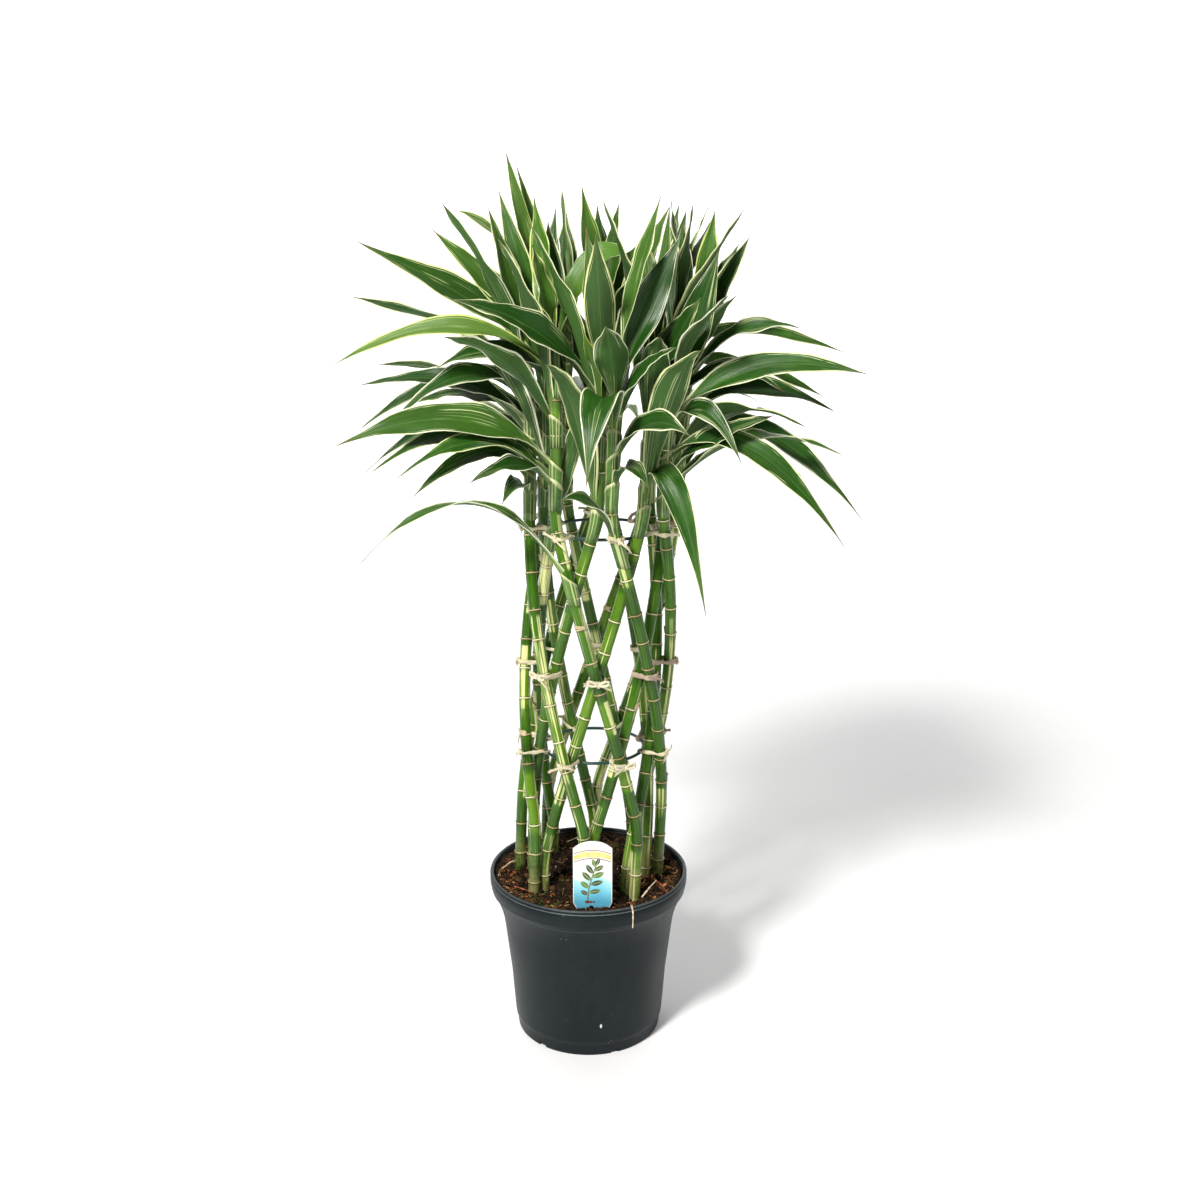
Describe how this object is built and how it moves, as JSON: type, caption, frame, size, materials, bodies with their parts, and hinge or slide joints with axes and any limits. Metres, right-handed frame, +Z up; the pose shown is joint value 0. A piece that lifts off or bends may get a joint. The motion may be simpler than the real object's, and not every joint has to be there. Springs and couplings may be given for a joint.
{
  "type": "potted lucky bamboo",
  "caption": "Variegated lucky bamboo with its canes tied into an open round lattice over two wire hoops, in a dark plastic nursery pot with soil and a plant label.",
  "frame": {"origin": "On the surface that the pot stands on, under the middle of the pot.", "axes": "+Z up, -Y toward the viewer of the front with the label, +X to the right seen from the front."},
  "size_m": [0.418, 0.3391, 0.742],
  "materials": {
    "leaf_and_cane": "satin green leaves and canes with cream margins and streaks",
    "pot_plastic": "matte dark slate nursery plastic",
    "potting_soil": "loose brown peat with bark, moss and white grains",
    "coated_wire": "dark green coated wire",
    "raffia": "pale dry raffia strips",
    "label_card": "glossy printed plastic tag with a plain leaf motif"
  },
  "bodies": {
    "root": {"pot": "pot_plastic", "soil": "potting_soil", "plant_label": "label_card", "hoop_lower": "coated_wire", "hoop_upper": "coated_wire", "leafy_stem_01": "leaf_and_cane", "leafy_stem_02": "leaf_and_cane", "leafy_stem_03": "leaf_and_cane", "leafy_stem_04": "leaf_and_cane", "leafy_stem_05": "leaf_and_cane", "leafy_stem_06": "leaf_and_cane", "leafy_stem_07": "leaf_and_cane", "leafy_stem_08": "leaf_and_cane", "leafy_stem_09": "leaf_and_cane", "leafy_stem_10": "leaf_and_cane", "leafy_stem_11": "leaf_and_cane", "leafy_stem_12": "leaf_and_cane", "leafy_stem_13": "leaf_and_cane", "leafy_stem_14": "leaf_and_cane", "leafy_stem_15": "leaf_and_cane", "leafy_stem_16": "leaf_and_cane", "tie_lower_1": "raffia", "tie_lower_2": "raffia", "tie_lower_3": "raffia", "tie_lower_4": "raffia", "tie_lower_5": "raffia", "tie_lower_6": "raffia", "tie_lower_7": "raffia", "tie_lower_8": "raffia", "tie_middle_1": "raffia", "tie_middle_2": "raffia", "tie_middle_3": "raffia", "tie_middle_4": "raffia", "tie_middle_5": "raffia", "tie_middle_6": "raffia", "tie_middle_7": "raffia", "tie_middle_8": "raffia", "tie_upper_1": "raffia", "tie_upper_2": "raffia", "tie_upper_3": "raffia", "tie_upper_4": "raffia", "tie_upper_5": "raffia", "tie_upper_6": "raffia", "tie_upper_7": "raffia", "tie_upper_8": "raffia"}
  },
  "joints": []
}
